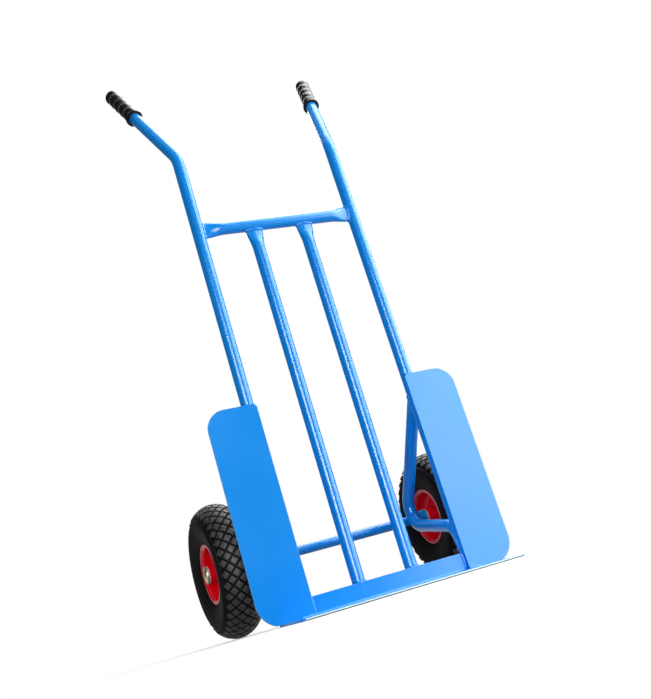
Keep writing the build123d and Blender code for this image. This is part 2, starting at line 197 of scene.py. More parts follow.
def makeEnamel():
    material, tree, shader = startMaterial("red_enamel", **{
        "IOR": enamel["ior"], "Specular IOR Level": enamel["specular"]})
    spot = addNode(tree, "TexCoord").outputs["Object"]
    wave = addNode(tree, "TexNoise", {"Vector": spot, "Scale": 1 / enamel["wave"], "Detail": 1}).outputs[0]
    peel = addNode(tree, "TexNoise", {"Vector": spot, "Scale": 1 / enamel["peel"], "Detail": 1}).outputs[0]
    edge, soft = rollEdges(tree, enamel["edgeRadius"], enamel["wearStart"], enamel["wearFull"])
    # the lip's painted highlight ring is found by its distance from the axle line, which both wheels share
    axle = wheelCentre["left_wheel"]
    centred = addNode(tree, "Mapping", {
        "Vector": spot, "Location": (0, -axle.y, -axle.z), "Scale": (0, 1, 1)}).outputs[0]
    reach = addNode(tree, "VectorMath", {0: centred}, operation="LENGTH").outputs["Value"]
    ring = addNode(tree, "MapRange", {
        "Value": reach, 1: enamel["lipInner"], 2: enamel["lipOuter"]}).outputs[0]
    # painted highlight: pale pink on the lip ring, and on the edges, where it is also wear
    rubbed = addNode(tree, "Math", {0: edge, 1: ring}, operation="MAXIMUM").outputs[0]
    body = addNode(tree, "Mix", {
        0: wave, 6: hexColour(enamel["deep"]), 7: hexColour(enamel["colour"])}, data_type="RGBA").outputs[2]
    lipped = addNode(tree, "Mix", {
        0: rubbed, 6: body, 7: hexColour(enamel["lip"])}, data_type="RGBA").outputs[2]
    rough = addNode(tree, "MapRange", {
        "Value": wave, 1: noiseLow, 2: noiseHigh, 3: enamel["roughLow"], 4: enamel["roughHigh"]}).outputs[0]
    swell = addNode(tree, "Bump", {
        "Height": wave, "Strength": enamel["waveStrength"], "Distance": enamel["waveDepth"], "Normal": soft})
    skin = addNode(tree, "Bump", {
        "Height": peel, "Strength": enamel["peelStrength"], "Distance": enamel["peelDepth"],
        "Normal": swell.outputs[0]})
    linkFinish(tree, shader, lipped, rough, skin)
    return material


# Moulded rubber: carbon black, matt, with a fine mould grain; the tread tops are a paler grey, partly from
# scuffing and partly painted light on the tops
rubber = {
    "ior": 1.52, "grain": 0.9 * mm, "grainDepth": 0.2 * mm, "grainStrength": 0.25,
    "paleStart": 0.38, "paleFull": 0.68, "roughLess": 0.08, "roughMore": 0.06, "patchRoughness": 0.6,
    "sidewall": {"dark": "080808", "pale": "0F0E0E", "patch": 22 * mm, "rough": 0.66, "specular": 0.05},
    # tread tops paler than the grooves and sidewalls: scuffing and painted light
    "tread": {"dark": "161618", "pale": "3D3C3E", "patch": 7 * mm, "rough": 0.58, "specular": 0.25},
    "butyl": {"dark": "0F0E0E", "pale": "161618", "patch": 22 * mm, "rough": 0.5, "specular": 0.3},
}


def makeRubber(name, kind):
    material, tree, shader = startMaterial(name, **{
        "IOR": rubber["ior"], "Specular IOR Level": kind["specular"]})
    spot = addNode(tree, "TexCoord").outputs["Object"]
    cloud = addNode(tree, "TexNoise", {
        "Vector": spot, "Scale": 1 / kind["patch"], "Detail": 5,
        "Roughness": rubber["patchRoughness"]}).outputs[0]
    grain = addNode(tree, "TexNoise", {"Vector": spot, "Scale": 1 / rubber["grain"], "Detail": 2}).outputs[0]
    worn = addNode(tree, "MapRange", {
        "Value": cloud, 1: rubber["paleStart"], 2: rubber["paleFull"]}).outputs[0]
    colour = addNode(tree, "Mix", {
        0: worn, 6: hexColour(kind["dark"]), 7: hexColour(kind["pale"])}, data_type="RGBA").outputs[2]
    rough = addNode(tree, "MapRange", {
        "Value": cloud, 1: noiseLow, 2: noiseHigh,
        3: kind["rough"] - rubber["roughLess"], 4: kind["rough"] + rubber["roughMore"]}).outputs[0]
    skin = addNode(tree, "Bump", {
        "Height": grain, "Strength": rubber["grainStrength"], "Distance": rubber["grainDepth"]})
    linkFinish(tree, shader, colour, rough, skin)
    return material


# Soft black PVC of the grips: satin moulding with handling shine, a fine leather grain and a painted
# highlight as pale bands in the hollows; bared is the share of the surround that a spot sees
grip = {
    "colour": "070708", "smudge": "0F0F10", "hollowSheen": "C4C4C8", "ior": 1.53, "specular": 0.18,
    "roughLow": 0.3, "roughHigh": 0.45, "smudgePatch": 18 * mm,
    "grain": 1.1 * mm, "grainDepth": 0.15 * mm, "grainStrength": 0.15,
    "hollow": 6 * mm, "hollowSamples": 8, "hollowSheenStart": 0.93, "hollowSheenFull": 0.86, "hollowSheenShare": 0.45,
}


def makeGripVinyl():
    material, tree, shader = startMaterial("black_pvc", **{
        "IOR": grip["ior"], "Specular IOR Level": grip["specular"]})
    spot = addNode(tree, "TexCoord").outputs["Object"]
    cloud = addNode(tree, "TexNoise", {
        "Vector": spot, "Scale": 1 / grip["smudgePatch"], "Detail": 4}).outputs[0]
    grain = addNode(tree, "TexVoronoi", {
        "Vector": spot, "Scale": 1 / grip["grain"]}, feature="SMOOTH_F1").outputs[0]
    colour = addNode(tree, "Mix", {
        0: cloud, 6: hexColour(grip["colour"]), 7: hexColour(grip["smudge"])}, data_type="RGBA").outputs[2]
    bared = addNode(tree, "AmbientOcclusion", {
        "Distance": grip["hollow"]}, samples=grip["hollowSamples"], only_local=True).outputs["AO"]
    # painted highlight: pale bands in the hollows stand for the light that the ribs catch
    hollowSheen = addNode(tree, "MapRange", {
        "Value": bared, 1: grip["hollowSheenStart"], 2: grip["hollowSheenFull"], 3: 0.0, 4: grip["hollowSheenShare"]}).outputs[0]
    sheened = addNode(tree, "Mix", {
        0: hollowSheen, 6: colour, 7: hexColour(grip["hollowSheen"])}, data_type="RGBA").outputs[2]
    rough = addNode(tree, "MapRange", {
        "Value": cloud, 1: noiseLow, 2: noiseHigh, 3: grip["roughLow"], 4: grip["roughHigh"]}).outputs[0]
    skin = addNode(tree, "Bump", {
        "Height": grain, "Strength": grip["grainStrength"], "Distance": grip["grainDepth"]})
    linkFinish(tree, shader, sheened, rough, skin)
    return material


# Plated steel turned on the axle line: fine turning rings and a cloudy passivation tint
plating = {
    "zinc": {"pale": "B4B7BB", "dark": "8E9196"}, "yellowZinc": {"pale": "CDBD92", "dark": "9A9A78"},
    "tint": 9 * mm, "roughLow": 0.28, "roughHigh": 0.44,
    "ring": 0.8 * mm, "ringDepth": 0.1 * mm, "ringStrength": 0.12, "ringWaver": 0.4,
}


def makePlating(name, kind):
    material, tree, shader = startMaterial(name, **{"Metallic": 1.0})
    spot = addNode(tree, "TexCoord").outputs["Object"]
    axle = wheelCentre["left_wheel"]
    centred = addNode(tree, "Mapping", {"Vector": spot, "Location": (0, -axle.y, -axle.z)}).outputs[0]
    # a wave texture repeats every tau / 20 units
    rings = addNode(tree, "TexWave", {
        "Vector": centred, "Scale": math.tau / (20 * plating["ring"]), "Distortion": plating["ringWaver"]},
        wave_type="RINGS", rings_direction="X").outputs["Fac"]
    cloud = addNode(tree, "TexNoise", {"Vector": spot, "Scale": 1 / plating["tint"], "Detail": 3}).outputs[0]
    colour = addNode(tree, "Mix", {
        0: cloud, 6: hexColour(kind["dark"]), 7: hexColour(kind["pale"])}, data_type="RGBA").outputs[2]
    rough = addNode(tree, "MapRange", {
        "Value": cloud, 1: noiseLow, 2: noiseHigh,
        3: plating["roughLow"], 4: plating["roughHigh"]}).outputs[0]
    skin = addNode(tree, "Bump", {
        "Height": rings, "Strength": plating["ringStrength"], "Distance": plating["ringDepth"]})
    linkFinish(tree, shader, colour, rough, skin)
    return material


# Natural nylon of the bushes: milky, a little translucent, greased where it runs
nylon = {
    "colour": "D9D3C2", "grease": "A79C82", "patch": 6 * mm, "greaseStart": 0.45, "greaseFull": 0.7,
    "ior": 1.53, "milk": 0.15, "milkDepth": 2 * mm, "dryRough": 0.5, "greasedRough": 0.25,
}


def makeNylon():
    material, tree, shader = startMaterial("natural_nylon", **{
        "IOR": nylon["ior"], "Subsurface Weight": nylon["milk"], "Subsurface Scale": nylon["milkDepth"]})
    spot = addNode(tree, "TexCoord").outputs["Object"]
    cloud = addNode(tree, "TexNoise", {"Vector": spot, "Scale": 1 / nylon["patch"], "Detail": 4}).outputs[0]
    greased = addNode(tree, "MapRange", {
        "Value": cloud, 1: nylon["greaseStart"], 2: nylon["greaseFull"]}).outputs[0]
    colour = addNode(tree, "Mix", {
        0: greased, 6: hexColour(nylon["colour"]), 7: hexColour(nylon["grease"])},
        data_type="RGBA").outputs[2]
    rough = addNode(tree, "MapRange", {
        "Value": greased, 3: nylon["dryRough"], 4: nylon["greasedRough"]}).outputs[0]
    linkFinish(tree, shader, colour, rough)
    return material


# Bright brass of the valve thread, dulled in patches
brass = {"colour": "C9A45C", "dull": "7C6236", "patch": 2 * mm, "roughLow": 0.25, "roughHigh": 0.45}


def makeBrass():
    material, tree, shader = startMaterial("turned_brass", **{"Metallic": 1.0})
    spot = addNode(tree, "TexCoord").outputs["Object"]
    cloud = addNode(tree, "TexNoise", {"Vector": spot, "Scale": 1 / brass["patch"], "Detail": 3}).outputs[0]
    colour = addNode(tree, "Mix", {
        0: cloud, 6: hexColour(brass["dull"]), 7: hexColour(brass["colour"])}, data_type="RGBA").outputs[2]
    rough = addNode(tree, "MapRange", {
        "Value": cloud, 3: brass["roughLow"], 4: brass["roughHigh"]}).outputs[0]
    linkFinish(tree, shader, colour, rough)
    return material


powderCoat = makePowderCoat()
redEnamel = makeEnamel()
sidewallRubber = makeRubber("tyre_rubber", rubber["sidewall"])
treadRubber = makeRubber("scuffed_and_lit_tread_rubber", rubber["tread"])
butylRubber = makeRubber("butyl_rubber", rubber["butyl"])
gripVinyl = makeGripVinyl()
zincPlate = makePlating("zinc_plated_steel", plating["zinc"])
yellowZincPlate = makePlating("yellow_zinc_plated_steel", plating["yellowZinc"])
naturalNylon = makeNylon()
turnedBrass = makeBrass()
slotFinish = {
    "frame_paint": powderCoat, "wheel_paint": redEnamel, "tyre": sidewallRubber, "butyl": butylRubber,
    "valve": turnedBrass, "nylon": naturalNylon, "zinc": zincPlate, "yellow_zinc": yellowZincPlate,
    "grip": gripVinyl,
}
for part in frame["record"]["subparts"]:
    mesh = nodes[part["node"]].data
    mesh.materials.clear()
    mesh.materials.append(slotFinish[part["material_slot"]])
print("finishes on", len(nodes), "CAD nodes")

# Tyre outline as real sizes: radius from the axle and distance from the wheel's middle
tyre = {
    "radius": 130 * mm, "shoulderRadius": 115 * mm, "shoulderHalf": 34.5 * mm,
    "widestRadius": 102 * mm, "halfWidth": 39.5 * mm, "lipRadius": 58 * mm, "lipHalf": 28 * mm,
    "seatRadius": 50.8 * mm, "heel": 5 * mm, "heelParts": 3, "beadToe": 18 * mm, "beadHeight": 12 * mm,
    "crownThickness": 9 * mm, "wallThickness": 6 * mm, "liningHalf": 8 * mm,
    "grooves": 36, "grooveWidth": 4.2 * mm, "grooveDepth": 4 * mm, "crossSlant": 45, "longSlant": 45,
    "turn": 7.4, "treadHalf": 45 * mm, "blocksHalf": 36 * mm,
    "blockRound": 0.7 * mm, "roundParts": 2, "blockSplits": 2, "sidewallRings": 9, "ribHeight": 0.7 * mm,
    "cutSlack": 0.05 * mm, "mergeSlack": 0.04 * mm, "borderSlack": 0.1 * mm,
}


# Radius of the arc that leaves the first outline point square to its radius and ends in the second
def arcRadius(start, end):
    run = end[0] - start[0]
    drop = start[1] - end[1]
    return (run ** 2 + drop ** 2) / (2 * drop)


widestSpot = (tyre["widestRadius"], tyre["halfWidth"])
crownBend = arcRadius((0, tyre["radius"]), (tyre["shoulderHalf"], tyre["shoulderRadius"]))
crownTurn = math.asin(tyre["shoulderHalf"] / crownBend)
wallBend = arcRadius(widestSpot, (tyre["shoulderRadius"], tyre["shoulderHalf"]))
wallTurn = math.asin((tyre["shoulderRadius"] - tyre["widestRadius"]) / wallBend)
lipBend = arcRadius(widestSpot, (tyre["lipRadius"], tyre["lipHalf"]))
lipTurn = math.asin((tyre["widestRadius"] - tyre["lipRadius"]) / lipBend)


# Point of the tyre's outside at an arc length from the crown's middle, with its outward direction
def tyreOutside(across):
    reach = abs(across)
    sign = math.copysign(1, across)
    if reach <= crownBend * crownTurn:
        bend, centre = crownBend, (0, tyre["radius"] - crownBend)
        angle = reach / bend
    else:
        bend, centre = wallBend, (tyre["halfWidth"] - wallBend, tyre["widestRadius"])
        angle = math.acos((tyre["shoulderRadius"] - centre[1]) / bend)
        angle += (reach - crownBend * crownTurn) / bend
    outward = (sign * math.sin(angle), math.cos(angle))
    return (sign * centre[0] + bend * outward[0], centre[1] + bend * outward[1]), outward


# Spot on the wheel at an outline point, turned from the top towards the front
def onWheel(x, radius, angle):
    return Vector((x, -radius * math.sin(angle), radius * math.cos(angle)))


# Spot over the tread from its unrolled place and its height over the outside
def onTread(across, angle, height):
    (x, radius), outward = tyreOutside(across)
    return onWheel(x + height * outward[0], radius + height * outward[1], angle)


def wheelAngle(vert):
    return math.atan2(-vert.co.y, vert.co.z)


def cutAt(bm, spot, normal, **settings):
    whole = bm.verts[:] + bm.edges[:] + bm.faces[:]
    bmesh.ops.bisect_plane(bm, geom=whole, plane_co=spot, plane_no=normal, **settings)


# One repeat of the tread, flat: a lattice of block and groove faces that both slants share
def treadCell(bm, acrossLayer):
    pitch = math.tau * tyre["radius"] / tyre["grooves"]
    crossAngle, longAngle = math.radians(tyre["crossSlant"]), math.radians(tyre["longSlant"])
    crossTan = math.tan(crossAngle)
    slantSum = crossTan + math.tan(longAngle)
    step = pitch / slantSum
    rowGroove = tyre["grooveWidth"] / math.cos(crossAngle) / 2
    columnGroove = tyre["grooveWidth"] / math.cos(longAngle) / slantSum / 2
    columns = math.ceil(tyre["treadHalf"] / step) + 2
    splits = tyre["blockSplits"]
    bmesh.ops.create_grid(bm, x_segments=1, y_segments=1, size=0.5)
    bmesh.ops.scale(bm, vec=(2 * columns * step, pitch, 1), verts=bm.verts)
    for part in range(splits):
        share = part / splits
        row = rowGroove + (pitch / 2 - rowGroove) * share
        column = columnGroove + (step / 2 - columnGroove) * share
        for sign in (-1, 1):
            cutAt(bm, (0, sign * row, 0), (0, 1, 0))
            for k in range(-columns, columns + 1):
                cutAt(bm, (k * step + sign * column, 0, 0), (1, 0, 0))
    for k in range(-columns, columns):
        cutAt(bm, ((k + 0.5) * step, 0, 0), (1, 0, 0))
    for face in bm.faces:
        middle = face.calc_center_median()
        offColumn = abs((middle.x / step + 0.5) % 1 - 0.5) * step
        columnMiddle = (math.floor(middle.x / step) + 0.5) * step
        blockMiddle = columnMiddle - math.copysign(pitch / 2, middle.y) / slantSum
        inGroove = abs(middle.y) < rowGroove or offColumn < columnGroove
        face.material_index = 0 if inGroove or abs(blockMiddle) > tyre["blocksHalf"] else 1
    # lattice to unrolled tread: x is the way across, y the way along
    slant = Matrix((
        (1, -1 / slantSum, 0, 0), (crossTan, 1 - crossTan / slantSum, 0, 0), (0, 0, 1, 0), (0, 0, 0, 1)))
    bmesh.ops.transform(bm, matrix=slant, verts=bm.verts)
    for sign in (-1, 1):
        cutAt(bm, (sign * tyre["treadHalf"], 0, 0), (sign, 0, 0), dist=tyre["cutSlack"], clear_outer=True)
    for vert in bm.verts:
        vert[acrossLayer] = vert.co.x
        vert.co = onTread(vert.co.x, vert.co.y / tyre["radius"] + math.radians(tyre["turn"]), 0)


# Outline below the tread on one side: sidewall, bead and the lining up to the crown
def lowerOutline(sign):
    rings = tyre["sidewallRings"]
    widest = crownBend * crownTurn + wallBend * wallTurn
    points = []
    for k in range(1, rings + 1):
        share = k / rings
        (x, radius), outward = tyreOutside(tyre["treadHalf"] + (widest - tyre["treadHalf"]) * share)
        sink = tyre["grooveDepth"] * (1 - share) ** 2
        points.append((x - sink * outward[0], radius - sink * outward[1]))
    for k in range(1, rings + 1):
        angle = lipTurn * k / rings
        drop = lipBend * math.sin(angle)
        points.append((tyre["halfWidth"] - lipBend * (1 - math.cos(angle)), tyre["widestRadius"] - drop))
    # raised line moulded just above the rim, which shows that the bead sits evenly
    points[-3] = (points[-3][0] + tyre["ribHeight"], points[-3][1])
    heel, seat = tyre["heel"], tyre["seatRadius"]
    for k in range(tyre["heelParts"] + 1):
        angle = math.radians(90 / tyre["heelParts"] * k)
        points.append((tyre["lipHalf"] - heel * (1 - math.cos(angle)), seat + heel * (1 - math.sin(angle))))
    wall = tyre["wallThickness"]
    points += [
        (tyre["beadToe"], seat),
        (tyre["beadToe"], seat + tyre["beadHeight"]),
        (tyre["halfWidth"] - wall, tyre["widestRadius"]),
        (tyre["shoulderHalf"] - wall, tyre["shoulderRadius"] - wall),
        (tyre["liningHalf"], tyre["radius"] - tyre["crownThickness"]),
    ]
    return [(sign * x, radius) for x, radius in points]


# Elements of one kind in what an operator made
def pick(made, kind):
    return [element for element in made if isinstance(element, kind)]


def makeTyre(word, side):
    bm = bmesh.new()
    acrossLayer = bm.verts.layers.float.new("across")
    treadCell(bm, acrossLayer)
    turns = tyre["grooves"]
    bmesh.ops.spin(bm, geom=bm.verts[:] + bm.edges[:] + bm.faces[:], cent=(0, 0, 0), axis=(1, 0, 0),
                   angle=math.tau * (turns - 1) / turns, steps=turns - 1, use_duplicate=True)
    bmesh.ops.remove_doubles(bm, verts=bm.verts, dist=tyre["mergeSlack"])
    # sink the grooves and round the blocks' brinks
    tops = {face for face in bm.faces if face.material_index == 1}
    sunk = [face for face in bm.faces if face.material_index == 0]
    rims = list({e for face in sunk for e in face.edges})
    made = bmesh.ops.extrude_face_region(bm, geom=sunk + rims)["geom"]
    bmesh.ops.delete(bm, geom=[face for face in sunk if face.is_valid], context="FACES")
    for vert in pick(made, bmesh.types.BMVert):
        vert.co = onTread(vert[acrossLayer], wheelAngle(vert), -tyre["grooveDepth"])
    border = tyre["treadHalf"] - tyre["borderSlack"]
    sills = [face for face in bm.faces if all(abs(vert[acrossLayer]) > border for vert in face.verts)]
    bmesh.ops.delete(bm, geom=sills, context="FACES")
    brinks = [e for e in bm.edges if len(e.link_faces) == 2 and len(tops.intersection(e.link_faces)) == 1]
    bmesh.ops.bevel(bm, geom=brinks, offset=tyre["blockRound"], affect="EDGES",
                    segments=tyre["roundParts"], profile=0.5, material=-1, clamp_overlap=True)
    # carry both borders down the sidewalls and round the beads, and close them inside
    borders = []
    for sign in (-1, 1):
        edges = [e for e in bm.edges if e.is_boundary and sign * e.verts[0].co.x > 0]
        for x, radius in lowerOutline(sign):
            made = bmesh.ops.extrude_edge_only(bm, edges=edges)["geom"]
            edges = [e for e in pick(made, bmesh.types.BMEdge) if e.is_boundary]
            for vert in pick(made, bmesh.types.BMVert):
                vert.co = onWheel(x, radius, wheelAngle(vert))
            for face in pick(made, bmesh.types.BMFace):
                face.material_index = 0
        borders += edges
    bmesh.ops.bridge_loops(bm, edges=borders)
    bmesh.ops.scale(bm, vec=(-side, 1, 1), verts=bm.verts)      # the right tyre mirrors the left one
    bmesh.ops.translate(bm, vec=wheelCentre[f"{word}_wheel"], verts=bm.verts)
    piece = addPiece(f"{word}_tyre_moulded", bm, [sidewallRubber, treadRubber], f"{word}_wheel")
    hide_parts(f"{word}_tyre")
    return len(piece.data.polygons)


print("tyres with", [makeTyre(word, side) for word, side in sides.items()], "faces")

# Valve: rubber base, brass thread and a ribbed cap, with real diameters along the stem. The cap's
# corners are drawn as the way along the stem and the way in from the cap's radius
valve = {
    "offset": 9 * mm, "start": 54 * mm, "baseEnd": 46 * mm, "threadEnd": 41 * mm, "capEnd": 31 * mm,
    "baseRadius": 3.9 * mm, "baseTip": 3.4 * mm, "baseTaper": 2 * mm,
    "threadRadius": 2.9 * mm, "threadRoot": 2.5 * mm, "threadPitch": 0.8 * mm, "steps": 32,
    "capRadius": 3.8 * mm, "footAlong": 0.4 * mm, "footIn": 0.3 * mm, "domeStart": 1.5 * mm,
    "domeAlong": 0.4 * mm, "domeIn": 0.6 * mm, "topIn": 1.4 * mm,
    "capRibs": 16, "ribDepth": 0.35 * mm, "ribGap": 0.1 * mm, "flankTilt": 0.1, "flankArea": 3 * mm * mm,
    "mergeSlack": 0.01 * mm, "smoothAngle": 30,
}


# Profile turned about the stem's own line: distance from the axle and radius
def turnStem(bm, profile, steps):
    verts = [bm.verts.new((radius, 0, along)) for along, radius in profile]
    edges = [bm.edges.new(pair) for pair in zip(verts, verts[1:])]
    bmesh.ops.spin(bm, geom=verts + edges, cent=(0, 0, 0), axis=(0, 0, 1), angle=math.tau, steps=steps,
                   use_merge=True)
    bmesh.ops.remove_doubles(bm, verts=bm.verts, dist=valve["mergeSlack"])


def makeValve(word, side):
    centre = wheelCentre[f"{word}_wheel"] + Vector((side * valve["offset"], 0, 0))
    place = Matrix.Translation(centre) @ Matrix.Rotation(math.radians(90), 4, "X")
    base = bmesh.new()
    turnStem(base, [
        (valve["start"], 0),
        (valve["start"], valve["baseRadius"]),
        (valve["baseEnd"] + valve["baseTaper"], valve["baseRadius"]),
        (valve["baseEnd"], valve["baseTip"]),
        (valve["baseEnd"], 0),
    ], valve["steps"])
    thread = bmesh.new()
    ridges = [(valve["baseEnd"], 0), (valve["baseEnd"], valve["threadRoot"])]
    pitch = valve["threadPitch"]
    turns = round((valve["baseEnd"] - valve["threadEnd"]) / pitch)
    for k in range(turns):
        foot = valve["baseEnd"] - k * pitch
        ridges.append((foot - pitch / 2, valve["threadRadius"]))
        ridges.append((foot - pitch, valve["threadRoot"]))
    turnStem(thread, ridges + [(ridges[-1][0], 0)], valve["steps"])
    cap = bmesh.new()
    turnStem(cap, [
        (valve["threadEnd"], 0),
        (valve["threadEnd"], valve["capRadius"] - valve["footIn"]),
        (valve["threadEnd"] - valve["footAlong"], valve["capRadius"]),
        (valve["capEnd"] + valve["domeStart"], valve["capRadius"]),
        (valve["capEnd"] + valve["domeAlong"], valve["capRadius"] - valve["domeIn"]),
        (valve["capEnd"], valve["capRadius"] - valve["topIn"]),
        (valve["capEnd"], 0),
    ], 2 * valve["capRibs"])
    # every second flank of the cap is pressed in, which leaves the ribs
    flanks = [face for face in cap.faces
              if abs(face.normal.z) < valve["flankTilt"] and face.calc_area() > valve["flankArea"]]
    flanks.sort(key=lambda face: math.atan2(face.calc_center_median().y, face.calc_center_median().x))
    pressed = flanks[::2]
    bmesh.ops.inset_individual(cap, faces=pressed, thickness=valve["ribGap"], depth=-valve["ribDepth"])
    ribs = len(pressed)
    pieces = {
        "base": (base, butylRubber, "butyl"), "thread": (thread, turnedBrass, "valve"),
        "cap": (cap, gripVinyl, "grip"),
    }
    for name, (bm, material, slot) in pieces.items():
        bmesh.ops.transform(bm, matrix=place, verts=bm.verts)
        piece = addPiece(
            f"{word}_valve_{name}", bm, [material], f"{word}_wheel", valve["smoothAngle"])
        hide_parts(f"{word}_valve_stem")
    return ribs


print("valves with", [makeValve(word, side) for word, side in sides.items()], "cap ribs")

# Tube frame in its real sizes, for the weld seams; heights go up along the leaning rails
tubes = {
    "radius": 12.5 * mm, "railX": 170.5 * mm, "railFoot": -104 * mm, "railLean": 2.65, "crossbarUp": 772 * mm,
    "flatWide": 17.5 * mm, "flatThin": 5.5 * mm, "barX": 55 * mm, "barFoot": -94 * mm,
    "legMeets": 354.1 * mm, "legSlope": 41, "toeMeets": 46.2 * mm, "toeSlope": 70, "straightRun": 34 * mm,
    "wingTop": 399 * mm, "wingThickness": 3 * mm, "plateTop": 4 * mm, "upstandTop": 36 * mm,
    "upstandEnd": 156.6 * mm, "upstandFront": -109.5 * mm,
}
# one bead's section and ripples, and how small it starts at an open end
weld = {
    "half": 3.2 * mm, "rise": 2.2 * mm, "ripple": 2.6 * mm, "rippleShare": 0.16, "bow": 0.35, "sides": 8,
    "step": 0.65 * mm, "endShare": 0.25, "smoothAngle": 60,
}
# where the seams start and end, how far they lean out and how thick their beads are
seams = {
    "footLeft": 8 * mm, "footRight": 11 * mm, "footLean": 0.6, "footSize": 1.15,
    "wingHalf": 10 * mm, "wingLean": 0.3, "wingToe": 16 * mm, "wingToeSize": 0.9,
    "upstandLow": 2 * mm, "upstandHigh": 1 * mm, "upstandLean": 0.5, "upstandSize": 1.1,
    "railTurn": 2.1, "bracketBack": 60 * mm,
}
lean = math.radians(tubes["railLean"])
railAxis = Vector((0, math.sin(lean), math.cos(lean)))
railFront = Vector((0, -math.cos(lean), math.sin(lean)))
crossbarSpot = Vector((0, tubes["railFoot"], 0)) + railAxis * tubes["crossbarUp"]
barAxis = (crossbarSpot - Vector((0, tubes["barFoot"], 0))).normalized()


def railSpot(side, up):
    return Vector((side * tubes["railX"], tubes["railFoot"], 0)) + railAxis * up


# Part of a direction that is square to an axis
def squareTo(direction, axis):
    return direction - axis * direction.dot(axis)


# Seam where a tube of oval section runs into a round tube: spots with the way out of the corner
def saddleSeam(spot, along, wide, halfWide, halfThin, tubeSpot, tubeAxis):
    thin = along.cross(wide)
    steps = round(math.pi * (halfWide + halfThin) / weld["step"])
    reach = squareTo(along, tubeAxis)
    seam = []
    for k in range(steps):
        turn = math.tau * k / steps
        start = spot + wide * halfWide * math.cos(turn) + thin * halfThin * math.sin(turn)
        gap = squareTo(start - tubeSpot, tubeAxis)
        half = reach.dot(gap)
        root = max(half ** 2 - reach.length_squared * (gap.length_squared - tubes["radius"] ** 2), 0)
        point = start + along * ((-half - math.sqrt(root)) / reach.length_squared)
        off = (wide * math.cos(turn) / halfWide + thin * math.sin(turn) / halfThin).normalized()
        seam.append((point, (off + squareTo(point - tubeSpot, tubeAxis).normalized()).normalized()))
    return seam


# Straight seam with one way out
def straightSeam(start, end, out):
    steps = round((end - start).length / weld["step"])
    return [(start.lerp(end, k / steps), out.normalized()) for k in range(steps + 1)]


# Arc of a seam in a plane round a spot, from one turn to another
def arcSeam(spot, zero, quarter, radius, turns, out):
    steps = round(abs(turns[1] - turns[0]) * radius / weld["step"])
    seam = []
    for k in range(steps + 1):
        turn = turns[0] + (turns[1] - turns[0]) * k / steps
        off = zero * math.cos(turn) + quarter * math.sin(turn)
        seam.append((spot + off * radius, (off + out).normalized()))
    return seam


# Rippled bead along a seam: a bowed ring drawn from spot to spot, tapered where the seam has ends
def layBead(bm, seam, closed=False, size=1.0):
    count = len(seam)
    gone = 0
    frames = []
    for k, (spot, out) in enumerate(seam):
        before = seam[k - 1][0] if closed or k else spot
        after = seam[(k + 1) % count][0] if closed or k + 1 < count else spot
        run = (after - before).normalized()
        face = run.cross(out).normalized()
        gone += (spot - seam[k - 1][0]).length if k else 0
        swell = size * (1 + weld["rippleShare"] * abs(math.sin(math.pi * gone / weld["ripple"])))
        if not closed:
            fromEnd = min(k, count - 1 - k) * weld["step"] / weld["half"]
            swell *= min(1, weld["endShare"] + fromEnd) ** 0.5
        turned = Matrix((face, face.cross(run) * -1, run)).transposed().to_4x4()
        stretch = Matrix.Diagonal((weld["half"] * swell, weld["rise"] * swell, weld["half"], 1))
        frames.append(Matrix.Translation(spot) @ turned @ stretch)
    ring = bmesh.ops.create_circle(bm, segments=weld["sides"], radius=1)["verts"]
    for vert in ring:
        vert.co.z = -weld["bow"] * vert.co.x ** 2
    bmesh.ops.transform(bm, matrix=frames[0], verts=ring)
    first = edges = list({e for vert in ring for e in vert.link_edges})
    for past, present in zip(frames, frames[1:]):
        made = bmesh.ops.extrude_edge_only(bm, edges=edges)["geom"]
        edges = [e for e in pick(made, bmesh.types.BMEdge) if e.is_boundary]
        bmesh.ops.transform(bm, matrix=present @ past.inverted(), verts=pick(made, bmesh.types.BMVert))
    if closed:
        bmesh.ops.bridge_loops(bm, edges=first + edges)
    else:
        bmesh.ops.holes_fill(bm, edges=first + edges)


